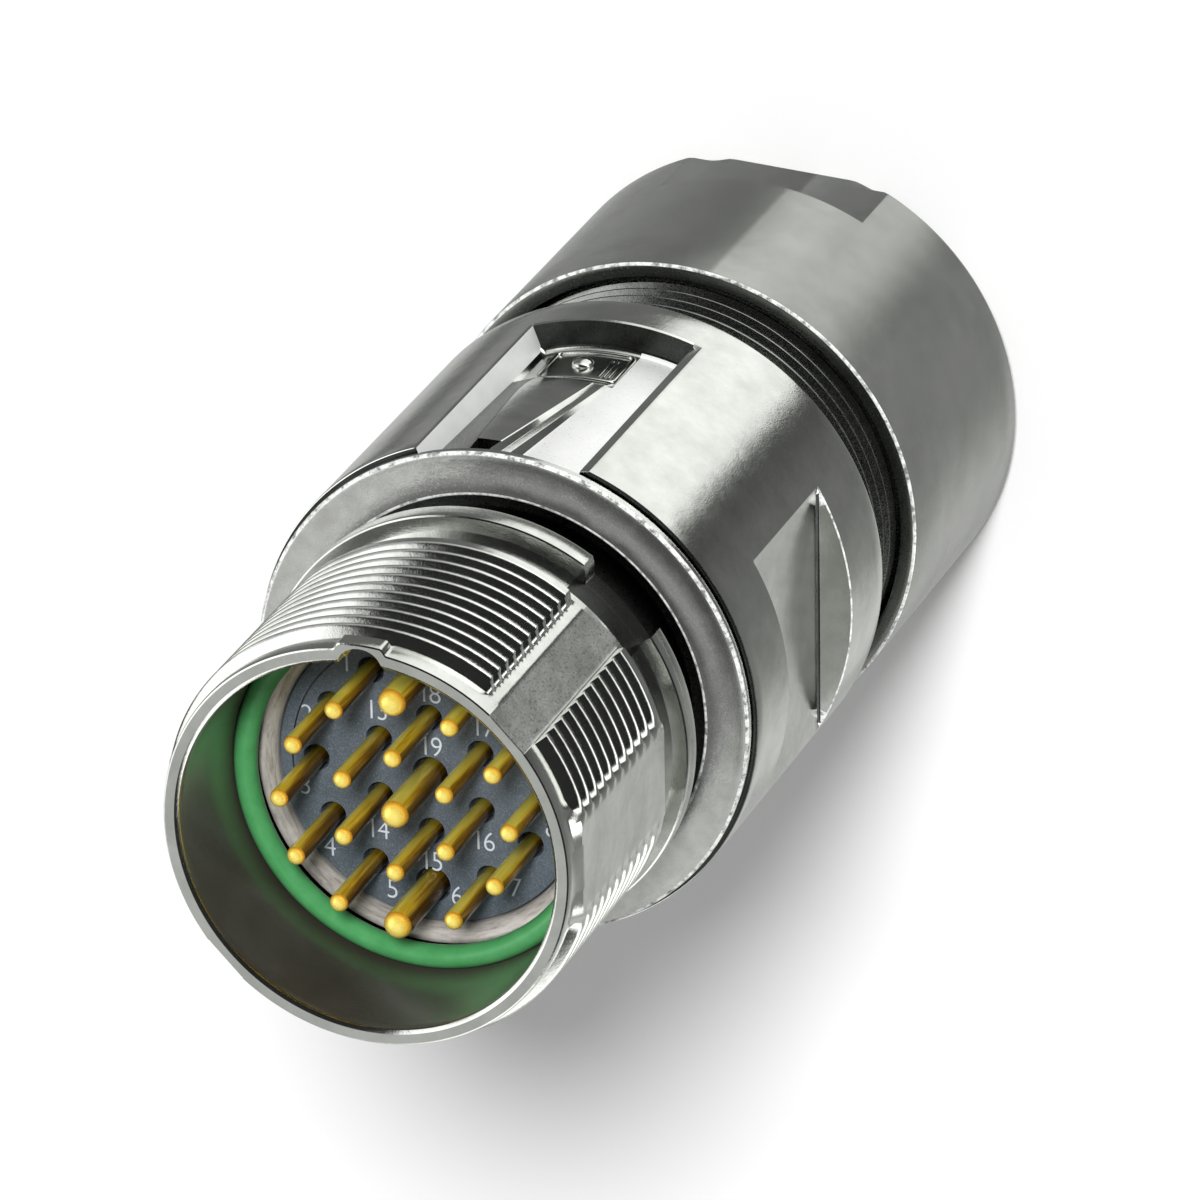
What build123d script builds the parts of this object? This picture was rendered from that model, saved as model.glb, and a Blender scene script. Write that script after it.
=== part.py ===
from build123d import *
import os

os.makedirs("parts", exist_ok=True)

# ---------------------------------------------------------------- dimensions
# Millimetres. The axis is Z: z = 0 is the rear face of the gland nut, on which
# the connector stands, and z = total_len is the rim of the mouth. The keyway
# and the top recess are towards +Y, the two parting flats towards +X and -X.
total_len = 62.2

# mouth and mating thread
rim_r = 10.90            # outer edge of the rim, where the thread starts
mate_thread_r = 11.50    # M23 x 1 outside radius
thread_root_r = 10.85
mouth_r = 10.14          # bore around the pins
rim_chamfer = 0.22
thread_front_z = 61.65
thread_rear_z = 49.20
collar_front_z = 47.00
collar_rear_z = 45.70
collar_r = 11.70
neck_r = 10.30           # bottom of the groove behind the collar

# flange and body
flange_face_z = 43.25
flange_inner_r = 11.20
flange_r = 13.60
flange_rear_z = 42.62
body_front_z = 42.42
body_r = 13.85
body_rear_z = 22.90
rear_thread_r = 12.50    # M25 x 1 outside radius
housing_rear_z = 11.00

# bores of the housing
seat_z = 54.15           # shoulder that the mating seal lies on
sleeve_bore_r = 8.66
bead_seat_z = 52.95      # counterbore under the seal, in which the sleeve's rolled edge lies
bead_seat_r = 9.42
step_z = 38.00
rear_bore_r = 10.40

# features cut into the housing
key_w = 2.20
key_r = 10.78
channel_angle = -45.0    # counted from the keyway, seen from the mouth
channel_w = 3.30
channel_floor = 10.80
collar_gap_w = 4.40
flat_x = 11.16           # parting flats of the mating thread
wrench_flat_x = 11.95
wrench_front_z = 37.70
wrench_rear_z = 28.00
recess_half_w = 4.55
recess_mid_x = -0.20
recess_floor_y = 11.75
recess_rear_z = 25.70

# gland nut
nut_r = 13.80
nut_front_z = 17.50
nut_thread_r = 12.60
nut_relief_r = 12.84
nut_relief_z = 15.60
nut_wall = 2.40
nut_step_z = 6.20         # below this the nut is narrower, under the wrench flats
nut_pocket_r = 11.25
nut_entry_r = 7.00
nut_flat = 12.50
nut_flat_z = 5.20
nut_turn = -3.0

# contacts
ring_outer_r = 6.25
ring_inner_r = 3.20
tip_z = 58.60
insert_face_z = 53.20
insert_split_z = 46.00
insert_rear_z = 37.20
insert_r = 8.06
thin_r = 0.50
thick_r = 0.75
hole_clear = 0.03
shoulder_len = 1.60
barrel_rear_z = 33.00
crimp_depth = 5.00

# sealing, shield and gland parts
spacer_rear_z = 25.00
shield_rear_z = 21.00
cage_front_z = 16.50
cage_r = 10.10
cage_in_r = 8.95
cage_flange_r = 10.90
cage_rear_z = 3.20
cable_r = 5.00

# ---------------------------------------------------------------- housing
# One die casting: mating thread, collar, flange, body and rear thread.
with BuildPart() as housing:
    with BuildSketch(Plane.XZ):
        with BuildLine():
            Polyline(
                (mouth_r + rim_chamfer, total_len),
                (rim_r, total_len),
                (mate_thread_r, thread_front_z),
                (mate_thread_r, thread_rear_z + 0.45),
                (thread_root_r, thread_rear_z),
                (thread_root_r, collar_front_z),
                (collar_r - 0.12, collar_front_z),
                (collar_r, collar_front_z - 0.12),
                (collar_r, collar_rear_z + 0.12),
                (collar_r - 0.12, collar_rear_z),
                (neck_r, collar_rear_z),
                (neck_r, flange_face_z - 0.75),
                (flange_inner_r - 0.05, flange_face_z - 0.75),
                (flange_inner_r, flange_face_z - 0.10),
                (flange_inner_r + 0.18, flange_face_z - 0.02),
                (flange_inner_r + 0.55, flange_face_z - 0.26),
                (flange_r - 0.75, flange_face_z - 0.26),
                (flange_r - 0.32, flange_face_z),
                (flange_r - 0.20, flange_face_z),
                (flange_r, flange_face_z - 0.20),
                (flange_r, flange_rear_z),
                (flange_r - 0.45, flange_rear_z),
                (flange_r - 0.45, body_front_z),
                (body_r - 0.18, body_front_z),
                (body_r, body_front_z - 0.18),
                (body_r, body_rear_z + 0.25),
                (body_r - 0.25, body_rear_z),
                (rear_thread_r - 0.55, body_rear_z),
                (rear_thread_r - 0.55, body_rear_z - 0.50),
                (rear_thread_r, body_rear_z - 0.95),
                (rear_thread_r, housing_rear_z + 0.60),
                (rear_thread_r - 0.60, housing_rear_z),
                (rear_bore_r + 0.40, housing_rear_z),
                (rear_bore_r, housing_rear_z + 0.40),
                (rear_bore_r, step_z),
                (sleeve_bore_r, step_z),
                (sleeve_bore_r, bead_seat_z),
                (bead_seat_r, bead_seat_z),
                (bead_seat_r, seat_z),
                (mouth_r, seat_z),
                (mouth_r, total_len - rim_chamfer),
                close=True,
            )
        make_face()
    revolve(axis=Axis.Z)

    # keyway at the top of the mouth, from the rim to the seal's shoulder
    with BuildSketch(Plane.XY.offset(seat_z + 1.6)):
        with BuildLine():
            Polyline((-key_w / 2, 9.6), (key_w / 2, 9.6), (key_w / 2, key_r - 0.55))
            ThreePointArc((key_w / 2, key_r - 0.55), (0, key_r), (-key_w / 2, key_r - 0.55))
            Line((-key_w / 2, key_r - 0.55), (-key_w / 2, 9.6))
        make_face()
    extrude(amount=total_len, mode=Mode.SUBTRACT)

    # quick-lock channels through the mating thread, wider through the collar
    for angle in (channel_angle, channel_angle + 180):
        with BuildSketch(Plane.XY.offset(thread_rear_z - 0.6)):
            with Locations(Rot(0, 0, angle) * Pos(0, channel_floor + 2)):
                Rectangle(channel_w, 4)
        extrude(amount=total_len, mode=Mode.SUBTRACT)
        with BuildSketch(Plane.XY.offset(collar_rear_z)):
            with Locations(Rot(0, 0, angle) * Pos(0, thread_root_r + 2)):
                Rectangle(collar_gap_w, 4)
        extrude(amount=collar_front_z - collar_rear_z, mode=Mode.SUBTRACT)

    # flats across the mating thread where the two die halves part
    for side in (1, -1):
        with BuildSketch(Plane.XY.offset(thread_rear_z - 0.2)):
            with Locations((side * (flat_x + 2), 0)):
                Rectangle(4, 10)
        extrude(amount=total_len, mode=Mode.SUBTRACT)

    # wrench flats on both sides of the body
    for side in (1, -1):
        with BuildSketch(Plane.XY.offset(wrench_rear_z)):
            with Locations((side * (wrench_flat_x + 3), 0)):
                Rectangle(6, 20)
        extrude(amount=wrench_front_z - wrench_rear_z, mode=Mode.SUBTRACT)

    # recess on top of the body, open to the front
    with BuildSketch(Plane.XY.offset(recess_rear_z)):
        with Locations((recess_mid_x, recess_floor_y + 2)):
            Rectangle(2 * recess_half_w, 4)
    extrude(amount=body_front_z - recess_rear_z + 0.1, mode=Mode.SUBTRACT)

    # tapered ramp inside the recess, rising towards the flange
    with BuildSketch(Plane.XY.offset(30.1)) as ramp_low:
        with BuildLine():
            Polyline((-4.05, recess_floor_y - 0.3), (1.0, recess_floor_y - 0.3),
                     (0.6, recess_floor_y + 0.05), (-3.6, recess_floor_y + 0.05), close=True)
        make_face()
    with BuildSketch(Plane.XY.offset(41.2)) as ramp_high:
        with BuildLine():
            Polyline((-3.9, recess_floor_y - 0.3), (0.1, recess_floor_y - 0.3),
                     (-0.95, recess_floor_y + 1.25), (-2.05, recess_floor_y + 1.25), close=True)
        make_face()
    loft()

    # low raised frame behind the ramp with one plain boss in it
    with BuildSketch(Plane.XZ.offset(-(recess_floor_y - 0.1))):
        with Locations((-0.95, 27.95)):
            RectangleRounded(4.6, 3.7, 0.35)
            RectangleRounded(4.0, 3.1, 0.25, mode=Mode.SUBTRACT)
    extrude(amount=-0.32)
    with BuildSketch(Plane.XZ.offset(-(recess_floor_y - 0.1))):
        with Locations((-1.1, 27.8)):
            Circle(0.65)
    extrude(amount=-0.30)
housing.part.label = "coupling_housing"
export_step(housing.part, "parts/coupling_housing.step")

# ---------------------------------------------------------------- mating seal
# Round ring lying on the shoulder, against the bore wall.
seal_wire_r = 0.64
seal_mid_r = mouth_r - 0.02 - seal_wire_r
with BuildPart() as mating_seal:
    with BuildSketch(Plane.XZ):
        with Locations((seal_mid_r, seat_z + seal_wire_r + 0.02)):
            Circle(seal_wire_r)
    revolve(axis=Axis.Z)
mating_seal.part.label = "mating_seal"
export_step(mating_seal.part, "parts/mating_seal.step")

# ---------------------------------------------------------------- insert sleeve
# Its front edge is rolled over into the counterbore once it is in place.
with BuildPart() as insert_sleeve:
    with BuildSketch(Plane.XZ):
        with BuildLine():
            Polyline(
                (insert_r + 0.04, insert_face_z + 0.02),
                (insert_r + 0.18, insert_face_z + 0.27),
                (insert_r + 0.74, insert_face_z + 0.27),
                (bead_seat_r - 0.34, insert_face_z + 0.03),
                (bead_seat_r - 0.34, bead_seat_z + 0.05),
                (sleeve_bore_r - 0.04, bead_seat_z + 0.05),
                (sleeve_bore_r - 0.04, step_z - 0.02),
                (rear_bore_r - 0.04, step_z - 0.02),
                (rear_bore_r - 0.04, insert_rear_z),
                (insert_r + 0.04, insert_rear_z),
                close=True,
            )
        make_face()
    revolve(axis=Axis.Z)
insert_sleeve.part.label = "insert_sleeve"
export_step(insert_sleeve.part, "parts/insert_sleeve.step")

# ---------------------------------------------------------------- contacts
# Number, ring radius, angle from the keyway counted against the clock as seen
# from the mouth, and whether the contact is one of the three thick ones.
contact_table = []
for number in range(1, 13):
    contact_table.append((number, ring_outer_r, 30.0 * number, number in (6, 12)))
for number in range(13, 19):
    contact_table.append((number, ring_inner_r, 60.0 * (number - 12), False))
contact_table.append((19, 0.0, 0.0, True))

contact_spots = {}
for number, ring, angle, thick in contact_table:
    spot = Vector(0, ring, 0).rotate(Axis.Z, angle)
    contact_spots[number] = (spot.X, spot.Y, thick)

for number, (cx, cy, thick) in contact_spots.items():
    pin_r = thick_r if thick else thin_r
    barrel_r = 1.05 if thick else 0.80
    crimp_r = 0.75 if thick else 0.55
    nose = 0.55 * pin_r
    nose_r = (pin_r ** 2 + nose ** 2) / (2 * nose)
    with BuildPart() as contact:
        with BuildSketch(Plane.XZ):
            with BuildLine():
                Polyline(
                    (0, barrel_rear_z + crimp_depth),
                    (crimp_r, barrel_rear_z + crimp_depth),
                    (crimp_r, barrel_rear_z),
                    (barrel_r, barrel_rear_z),
                    (barrel_r, insert_split_z - shoulder_len),
                    (barrel_r + 0.25, insert_split_z - shoulder_len),
                    (barrel_r + 0.25, insert_split_z - 0.03),
                    (pin_r, insert_split_z - 0.03),
                    (pin_r, tip_z - nose),
                )
                ThreePointArc(
                    (pin_r, tip_z - nose),
                    (pin_r / 2, tip_z - nose_r + (nose_r ** 2 - pin_r ** 2 / 4) ** 0.5),
                    (0, tip_z),
                )
                Line((0, tip_z), (0, barrel_rear_z + crimp_depth))
            make_face()
        revolve(axis=Axis.Z)
    placed = contact.part.moved(Location((cx, cy, 0)))
    placed.label = "contact_%02d" % number
    export_step(placed, "parts/contact_%02d.step" % number)

# ---------------------------------------------------------------- contact insert
# Front half of the contact carrier, with a countersink around each pin.
with BuildPart() as contact_insert:
    with BuildSketch(Plane.XY.offset(insert_split_z)):
        Circle(insert_r)
    extrude(amount=insert_face_z - insert_split_z)
    chamfer(contact_insert.edges().group_by(Axis.Z)[-1], 0.25)
    for number, (cx, cy, thick) in contact_spots.items():
        pin_r = thick_r if thick else thin_r
        with BuildSketch(Plane.XY.offset(insert_split_z)):
            with Locations((cx, cy)):
                Circle(pin_r + hole_clear)
        extrude(amount=insert_face_z - insert_split_z, mode=Mode.SUBTRACT)
        with BuildSketch(Plane.XY.offset(insert_face_z - 0.9)):
            with Locations((cx, cy)):
                Circle(pin_r + 0.20)
        extrude(amount=0.9, mode=Mode.SUBTRACT)
    # shallow rim slots on the left of the face
    with BuildSketch(Plane.XY.offset(insert_face_z - 0.35)):
        with Locations(Rot(0, 0, 62) * Pos(0, insert_r - 0.1)):
            Rectangle(4.6, 0.9)
        with Locations(Rot(0, 0, 242) * Pos(0, insert_r - 0.1)):
            Rectangle(3.2, 0.9)
    extrude(amount=0.4, mode=Mode.SUBTRACT)
contact_insert.part.label = "contact_insert"
export_step(contact_insert.part, "parts/contact_insert.step")

# ---------------------------------------------------------------- contact retainer
# Rear half of the carrier: its counterbores trap the contact shoulders.
with BuildPart() as contact_retainer:
    with BuildSketch(Plane.XY.offset(insert_rear_z - 1.0)):
        Circle(insert_r)
    extrude(amount=insert_split_z - 0.02 - insert_rear_z + 1.0)
    for number, (cx, cy, thick) in contact_spots.items():
        barrel_r = 1.05 if thick else 0.80
        with BuildSketch(Plane.XY.offset(insert_rear_z - 1.0)):
            with Locations((cx, cy)):
                Circle(barrel_r + hole_clear)
        extrude(amount=insert_split_z, mode=Mode.SUBTRACT)
        with BuildSketch(Plane.XY.offset(insert_split_z - shoulder_len - 0.02)):
            with Locations((cx, cy)):
                Circle(barrel_r + 0.25 + hole_clear)
        extrude(amount=shoulder_len + 1.0, mode=Mode.SUBTRACT)
contact_retainer.part.label = "contact_retainer"
export_step(contact_retainer.part, "parts/contact_retainer.step")

# ---------------------------------------------------------------- spacer sleeve
with BuildPart() as spacer_sleeve:
    with BuildSketch(Plane.XZ):
        with BuildLine():
            Polyline(
                (8.60, insert_rear_z - 0.02),
                (rear_bore_r - 0.10, insert_rear_z - 0.02),
                (rear_bore_r - 0.10, spacer_rear_z),
                (8.00, spacer_rear_z),
                (8.00, spacer_rear_z + 1.2),
                (8.60, spacer_rear_z + 1.8),
                close=True,
            )
        make_face()
    revolve(axis=Axis.Z)
spacer_sleeve.part.label = "spacer_sleeve"
export_step(spacer_sleeve.part, "parts/spacer_sleeve.step")

# ---------------------------------------------------------------- shield clamp ring
with BuildPart() as shield_ring:
    with BuildSketch(Plane.XZ):
        with BuildLine():
            Polyline(
                (6.40, spacer_rear_z - 0.02),
                (rear_bore_r - 0.04, spacer_rear_z - 0.02),
                (rear_bore_r - 0.04, shield_rear_z + 0.6),
                (rear_bore_r - 0.60, shield_rear_z),
                (7.40, shield_rear_z),
                (6.40, shield_rear_z + 1.4),
                close=True,
            )
        make_face()
    revolve(axis=Axis.Z)
shield_ring.part.label = "shield_ring"
export_step(shield_ring.part, "parts/shield_ring.step")

# ---------------------------------------------------------------- clamp cage
# Plastic basket with spring fingers around the cable seal.
with BuildPart() as clamp_cage:
    with BuildSketch(Plane.XZ):
        with BuildLine():
            Polyline(
                (cage_in_r, cage_front_z),
                (cage_r - 0.35, cage_front_z),
                (cage_r, cage_front_z - 0.45),
                (cage_r, cage_rear_z + 1.7),
                (cage_flange_r, cage_rear_z + 1.7),
                (cage_flange_r, cage_rear_z),
                (7.10, cage_rear_z),
                (7.10, cage_rear_z + 2.2),
                (cage_in_r, cage_rear_z + 2.2),
                close=True,
            )
        make_face()
    revolve(axis=Axis.Z)
    with BuildSketch(Plane.XY.offset(cage_rear_z + 3.2)):
        with PolarLocations((cage_r + cage_in_r) / 2, 8):
            Rectangle(3.0, 1.3)
    extrude(amount=cage_front_z, mode=Mode.SUBTRACT)
clamp_cage.part.label = "clamp_cage"
export_step(clamp_cage.part, "parts/clamp_cage.step")

# ---------------------------------------------------------------- cable seal
with BuildPart() as cable_seal:
    with BuildSketch(Plane.XZ):
        with BuildLine():
            Polyline(
                (cable_r + 0.35, cage_front_z - 0.6),
                (cage_in_r - 0.25, cage_front_z - 0.6),
                (cage_in_r - 0.05, cage_front_z - 0.9),
                (cage_in_r - 0.05, cage_rear_z + 2.25),
                (cable_r + 0.35, cage_rear_z + 2.25),
                (cable_r, cage_rear_z + 2.6),
                (cable_r, cage_front_z - 0.95),
                close=True,
            )
        make_face()
    revolve(axis=Axis.Z)
cable_seal.part.label = "cable_seal"
export_step(cable_seal.part, "parts/cable_seal.step")

# ---------------------------------------------------------------- slip ring
with BuildPart() as slip_ring:
    with BuildSketch(Plane.XY.offset(nut_wall + 0.06)):
        Circle(cage_flange_r)
        Circle(7.20, mode=Mode.SUBTRACT)
    extrude(amount=cage_rear_z - nut_wall - 0.08)
slip_ring.part.label = "slip_ring"
export_step(slip_ring.part, "parts/slip_ring.step")

# ---------------------------------------------------------------- gland nut
with BuildPart() as gland_nut:
    with BuildSketch(Plane.XZ):
        with BuildLine():
            Polyline(
                (nut_entry_r + 0.9, 0),
                (nut_r - 1.15, 0),
                (nut_r, 1.2),
                (nut_r, nut_front_z - 0.2),
                (nut_r - 0.2, nut_front_z),
                (nut_relief_r + 0.45, nut_front_z),
                (nut_relief_r, nut_front_z - 0.45),
                (nut_relief_r, nut_relief_z),
                (nut_thread_r, nut_relief_z - 0.35),
                (nut_thread_r, nut_step_z),
                (nut_pocket_r, nut_step_z),
                (nut_pocket_r, nut_wall),
                (nut_entry_r, nut_wall),
                (nut_entry_r, 0.9),
                close=True,
            )
        make_face()
    revolve(axis=Axis.Z)
    # two wrench flats at the rear end
    for side in (0, 180):
        with BuildSketch(Plane.XY):
            with Locations(Rot(0, 0, nut_turn + side) * Pos(0, nut_flat + 2)):
                Rectangle(20, 4)
        extrude(amount=nut_flat_z, mode=Mode.SUBTRACT)
gland_nut.part.label = "gland_nut"
export_step(gland_nut.part, "parts/gland_nut.step")
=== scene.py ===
import bpy, bmesh, math
import numpy as np
from mathutils import Vector, Matrix


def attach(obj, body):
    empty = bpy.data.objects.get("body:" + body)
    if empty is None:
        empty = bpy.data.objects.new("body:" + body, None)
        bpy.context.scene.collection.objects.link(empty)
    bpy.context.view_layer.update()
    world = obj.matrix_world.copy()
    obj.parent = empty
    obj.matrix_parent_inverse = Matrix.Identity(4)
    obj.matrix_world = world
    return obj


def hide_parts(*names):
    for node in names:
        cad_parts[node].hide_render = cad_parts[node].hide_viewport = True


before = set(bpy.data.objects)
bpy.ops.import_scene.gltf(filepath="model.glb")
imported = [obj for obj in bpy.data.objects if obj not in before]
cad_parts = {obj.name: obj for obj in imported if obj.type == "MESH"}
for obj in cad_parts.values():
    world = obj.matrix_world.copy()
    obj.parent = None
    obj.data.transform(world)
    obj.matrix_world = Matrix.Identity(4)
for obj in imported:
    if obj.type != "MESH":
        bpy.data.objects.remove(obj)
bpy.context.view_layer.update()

MM = 0.001
HOUSING, SLIDE, NUT = "housing_group", "gland_slide_group", "gland_nut_group"


# ------------------------------------------------------------------ mesh helpers
def wrap(a):
    """Angle in degrees brought to -180..180."""
    return (a + 180.0) % 360.0 - 180.0


def smoothstep(a, b, x):
    t = np.clip((x - a) / (b - a), 0.0, 1.0)
    return t * t * (3 - 2 * t)


def columns(base_step, dense=(), pairs=()):
    """Angles round the axis: an even base, denser spans, and a close pair at each crisp edge."""
    out = list(np.arange(-180.0, 180.0, base_step))
    for a, b, step in dense:
        out = [x for x in out if not (a <= x <= b)]
        out += list(np.arange(a, b + 1e-6, step))
    for p in pairs:
        out = [x for x in out if abs(wrap(x - p)) > 0.12]
        out += [wrap(p - 0.03), wrap(p + 0.03)]
    return np.array(sorted(set(round(wrap(x), 5) for x in out)))


def obj_from(name, verts, faces, sharp=28.0, smooth=True):
    me = bpy.data.meshes.new(name)
    me.from_pydata([tuple(v) for v in verts], [], faces)
    me.update()
    bm = bmesh.new()
    bm.from_mesh(me)
    bmesh.ops.recalc_face_normals(bm, faces=bm.faces)
    bm.to_mesh(me)
    bm.free()
    if smooth:
        me.polygons.foreach_set("use_smooth", [True] * len(me.polygons))
        me.set_sharp_from_angle(angle=math.radians(sharp))
    ob = bpy.data.objects.new(name, me)
    bpy.context.scene.collection.objects.link(ob)
    return ob


def revolve(name, rows, cols, sharp=28.0, closed=True, centre=(0.0, 0.0)):
    """Turned surface. rows: list of (radii array or number, height array or number) in mm.
    The angle is counted from +Y against the clock as seen from the mouth."""
    n, m = len(rows), len(cols)
    th = np.radians(cols)
    V = np.zeros((n, m, 3))
    for j, (r, z) in enumerate(rows):
        r = np.broadcast_to(np.asarray(r, float), (m,))
        V[j, :, 0] = centre[0] - r * np.sin(th)
        V[j, :, 1] = centre[1] + r * np.cos(th)
        V[j, :, 2] = z
    V *= MM
    faces = []
    last = n if closed else n - 1
    for j in range(last):
        a, b = j * m, ((j + 1) % n) * m
        for i in range(m):
            k = (i + 1) % m
            faces.append((a + i, a + k, b + k, b + i))
    return obj_from(name, V.reshape(-1, 3), faces, sharp)


def solid_turn(name, profile, seg=48, sharp=28.0, centre=(0.0, 0.0)):
    """Turned solid whose profile starts and ends on the axis (points are (r, z) in mm)."""
    th = np.linspace(0, 2 * math.pi, seg, endpoint=False)
    verts = [(centre[0] * MM, centre[1] * MM, profile[0][1] * MM)]
    faces = []
    for r, z in profile[1:-1]:
        for t in th:
            verts.append(((centre[0] - r * math.sin(t)) * MM, (centre[1] + r * math.cos(t)) * MM, z * MM))
    verts.append((centre[0] * MM, centre[1] * MM, profile[-1][1] * MM))
    rings = len(profile) - 2
    for i in range(seg):
        k = (i + 1) % seg
        faces.append((0, 1 + i, 1 + k))
        for j in range(rings - 1):
            a, b = 1 + j * seg, 1 + (j + 1) * seg
            faces.append((a + i, a + k, b + k, b + i))
        a = 1 + (rings - 1) * seg
        faces.append((a + i, a + k, len(verts) - 1))
    return obj_from(name, verts, faces, sharp)


# ------------------------------------------------------------------ materials
class Nodes:
    """Small helper around one material's node tree."""

    def __init__(self, name):
        self.mat = bpy.data.materials.new(name)
        self.mat.use_nodes = True
        self.t = self.mat.node_tree
        self.t.nodes.clear()
        self.out = self.t.nodes.new("ShaderNodeOutputMaterial")
        self.b = self.t.nodes.new("ShaderNodeBsdfPrincipled")
        self.t.links.new(self.b.outputs[0], self.out.inputs[0])
        self.co = self.t.nodes.new("ShaderNodeTexCoord")

    def set(self, **kw):
        for k, v in kw.items():
            s = self.b.inputs[k.replace("_", " ")]
            if isinstance(v, tuple):
                s.default_value = (*v, 1.0) if len(v) == 3 else v
            else:
                s.default_value = v
        return self

    def noise(self, scale, detail=3.0, rough=0.55, vec=None, distortion=0.0):
        n = self.t.nodes.new("ShaderNodeTexNoise")
        n.inputs["Scale"].default_value = scale
        n.inputs["Detail"].default_value = detail
        n.inputs["Roughness"].default_value = rough
        n.inputs["Distortion"].default_value = distortion
        self.t.links.new(vec or self.co.outputs["Object"], n.inputs["Vector"])
        return n.outputs["Fac"]

    def voronoi(self, scale):
        n = self.t.nodes.new("ShaderNodeTexVoronoi")
        n.inputs["Scale"].default_value = scale
        self.t.links.new(self.co.outputs["Object"], n.inputs["Vector"])
        return n.outputs["Distance"]

    def ramp(self, fac, stops, interp="LINEAR"):
        n = self.t.nodes.new("ShaderNodeValToRGB")
        cr = n.color_ramp
        cr.interpolation = interp
        while len(cr.elements) > 1:
            cr.elements.remove(cr.elements[-1])
        cr.elements[0].position = stops[0][0]
        cr.elements[0].color = self.c(stops[0][1])
        for p, c in stops[1:]:
            e = cr.elements.new(p)
            e.color = self.c(c)
        self.t.links.new(fac, n.inputs[0])
        return n.outputs[0]

    @staticmethod
    def c(c):
        return (c, c, c, 1.0) if isinstance(c, (int, float)) else (*c, 1.0)

    def math(self, op, a, b=0.0, c=None):
        n = self.t.nodes.new("ShaderNodeMath")
        n.operation = op
        for i, v in enumerate((a, b) if c is None else (a, b, c)):
            if isinstance(v, (int, float)):
                n.inputs[i].default_value = v
            else:
                self.t.links.new(v, n.inputs[i])
        return n.outputs[0]

    def mix(self, fac, a, b, blend="MIX"):
        n = self.t.nodes.new("ShaderNodeMix")
        n.data_type = "RGBA"
        n.blend_type = blend
        for i, v in ((0, fac), (6, a), (7, b)):
            if isinstance(v, (int, float)):
                n.inputs[i].default_value = v if i == 0 else self.c(v)
            elif isinstance(v, tuple):
                n.inputs[i].default_value = self.c(v)
            else:
                self.t.links.new(v, n.inputs[i])
        return n.outputs[2]

    def bump(self, height, strength, distance, chain=None):
        n = self.t.nodes.new("ShaderNodeBump")
        n.inputs["Strength"].default_value = strength
        n.inputs["Distance"].default_value = distance
        self.t.links.new(height, n.inputs["Height"])
        if chain is not None:
            self.t.links.new(chain, n.inputs["Normal"])
        return n.outputs[0]

    def mapping(self, scale):
        n = self.t.nodes.new("ShaderNodeMapping")
        n.inputs["Scale"].default_value = scale
        self.t.links.new(self.co.outputs["Object"], n.inputs["Vector"])
        return n.outputs[0]

    def to(self, socket, value):
        self.t.links.new(value, self.b.inputs[socket])
        return self


def metal(name, dark, light, rough_lo, rough_hi, grain, grain_depth, wave, wave_depth, metallic=1.0):
    n = Nodes(name).set(Metallic=metallic)
    cloud = n.noise(420.0, 4.0, 0.6)
    n.to("Base Color", n.ramp(cloud, [(0.3, dark), (0.7, light)]))
    fine = n.noise(grain, 4.0, 0.65)
    n.to("Roughness", n.ramp(fine, [(0.3, rough_lo), (0.72, rough_hi)]))
    b = n.bump(n.noise(wave, 2.0, 0.5), 1.0, wave_depth)
    b = n.bump(fine, 1.0, grain_depth, b)
    n.to("Normal", b)
    return n.mat


bright = metal("bright_nickel_casting", (0.57, 0.585, 0.555), (0.74, 0.75, 0.72), 0.07, 0.18, 9000.0, 0.0000055, 700.0, 0.000016)
def satin_material():
    """Turned nut: satin plating, with painted bands of light and shade round it."""
    n = Nodes("satin_nickel_brass").set(Metallic=0.78)
    sep = n.t.nodes.new("ShaderNodeSeparateXYZ")
    n.t.links.new(n.co.outputs["Object"], sep.inputs[0])
    # angle round the axis
    ang = n.math("ARCTAN2", n.math("MULTIPLY", sep.outputs[0], -1.0), sep.outputs[1])
    pos = n.math("ADD", n.math("DIVIDE", ang, 2 * math.pi), 0.5)
    # angle round the nut in degrees -> tone: painted light and shade, lighter and darker bands of reflection with a
    # sharp painted edge at about -9.5 degrees
    tone = n.ramp(pos, [((a + 180) / 360, v) for a, v in ((-180, 0.8), (-110, 0.72), (-75, 0.70), (-52, 0.80), (-40, 0.52), (-28, 0.50), (-18, 0.62), (-9.7, 0.78), (-9.3, 0.44), (8, 0.62), (26, 0.80), (60, 0.8), (180, 0.8))])
    cloud = n.ramp(n.noise(420.0, 4.0, 0.6), [(0.3, (0.52, 0.535, 0.505)), (0.7, (0.63, 0.64, 0.61))])
    n.to("Base Color", n.mix(1.0, cloud, tone, "MULTIPLY"))
    fine = n.noise(14000.0, 4.0, 0.65)
    n.to("Roughness", n.ramp(fine, [(0.3, 0.15), (0.72, 0.27)]))
    n.to("Normal", n.bump(fine, 1.0, 0.000008, n.bump(n.noise(1800.0, 2.0, 0.5), 1.0, 0.000004)))
    return n.mat


satin = satin_material()
def ring_material():
    n = Nodes("turned_ring_metal").set(Metallic=0.45)
    lines = n.noise(1.0, 4.0, 0.7, vec=n.mapping((700.0, 700.0, 9000.0)))
    n.to("Base Color", n.ramp(lines, [(0.32, (0.36, 0.33, 0.30)), (0.5, (0.62, 0.58, 0.54)), (0.7, (0.78, 0.74, 0.70))]))
    n.to("Roughness", n.ramp(lines, [(0.3, 0.30), (0.7, 0.45)]))
    n.to("Normal", n.bump(lines, 1.0, 0.00001))
    return n.mat


ringmetal = ring_material()
tin = metal("inner_ring_metal", (0.45, 0.45, 0.44), (0.6, 0.6, 0.58), 0.25, 0.4, 8000.0, 0.000006, 1200.0, 0.000006)


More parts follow.
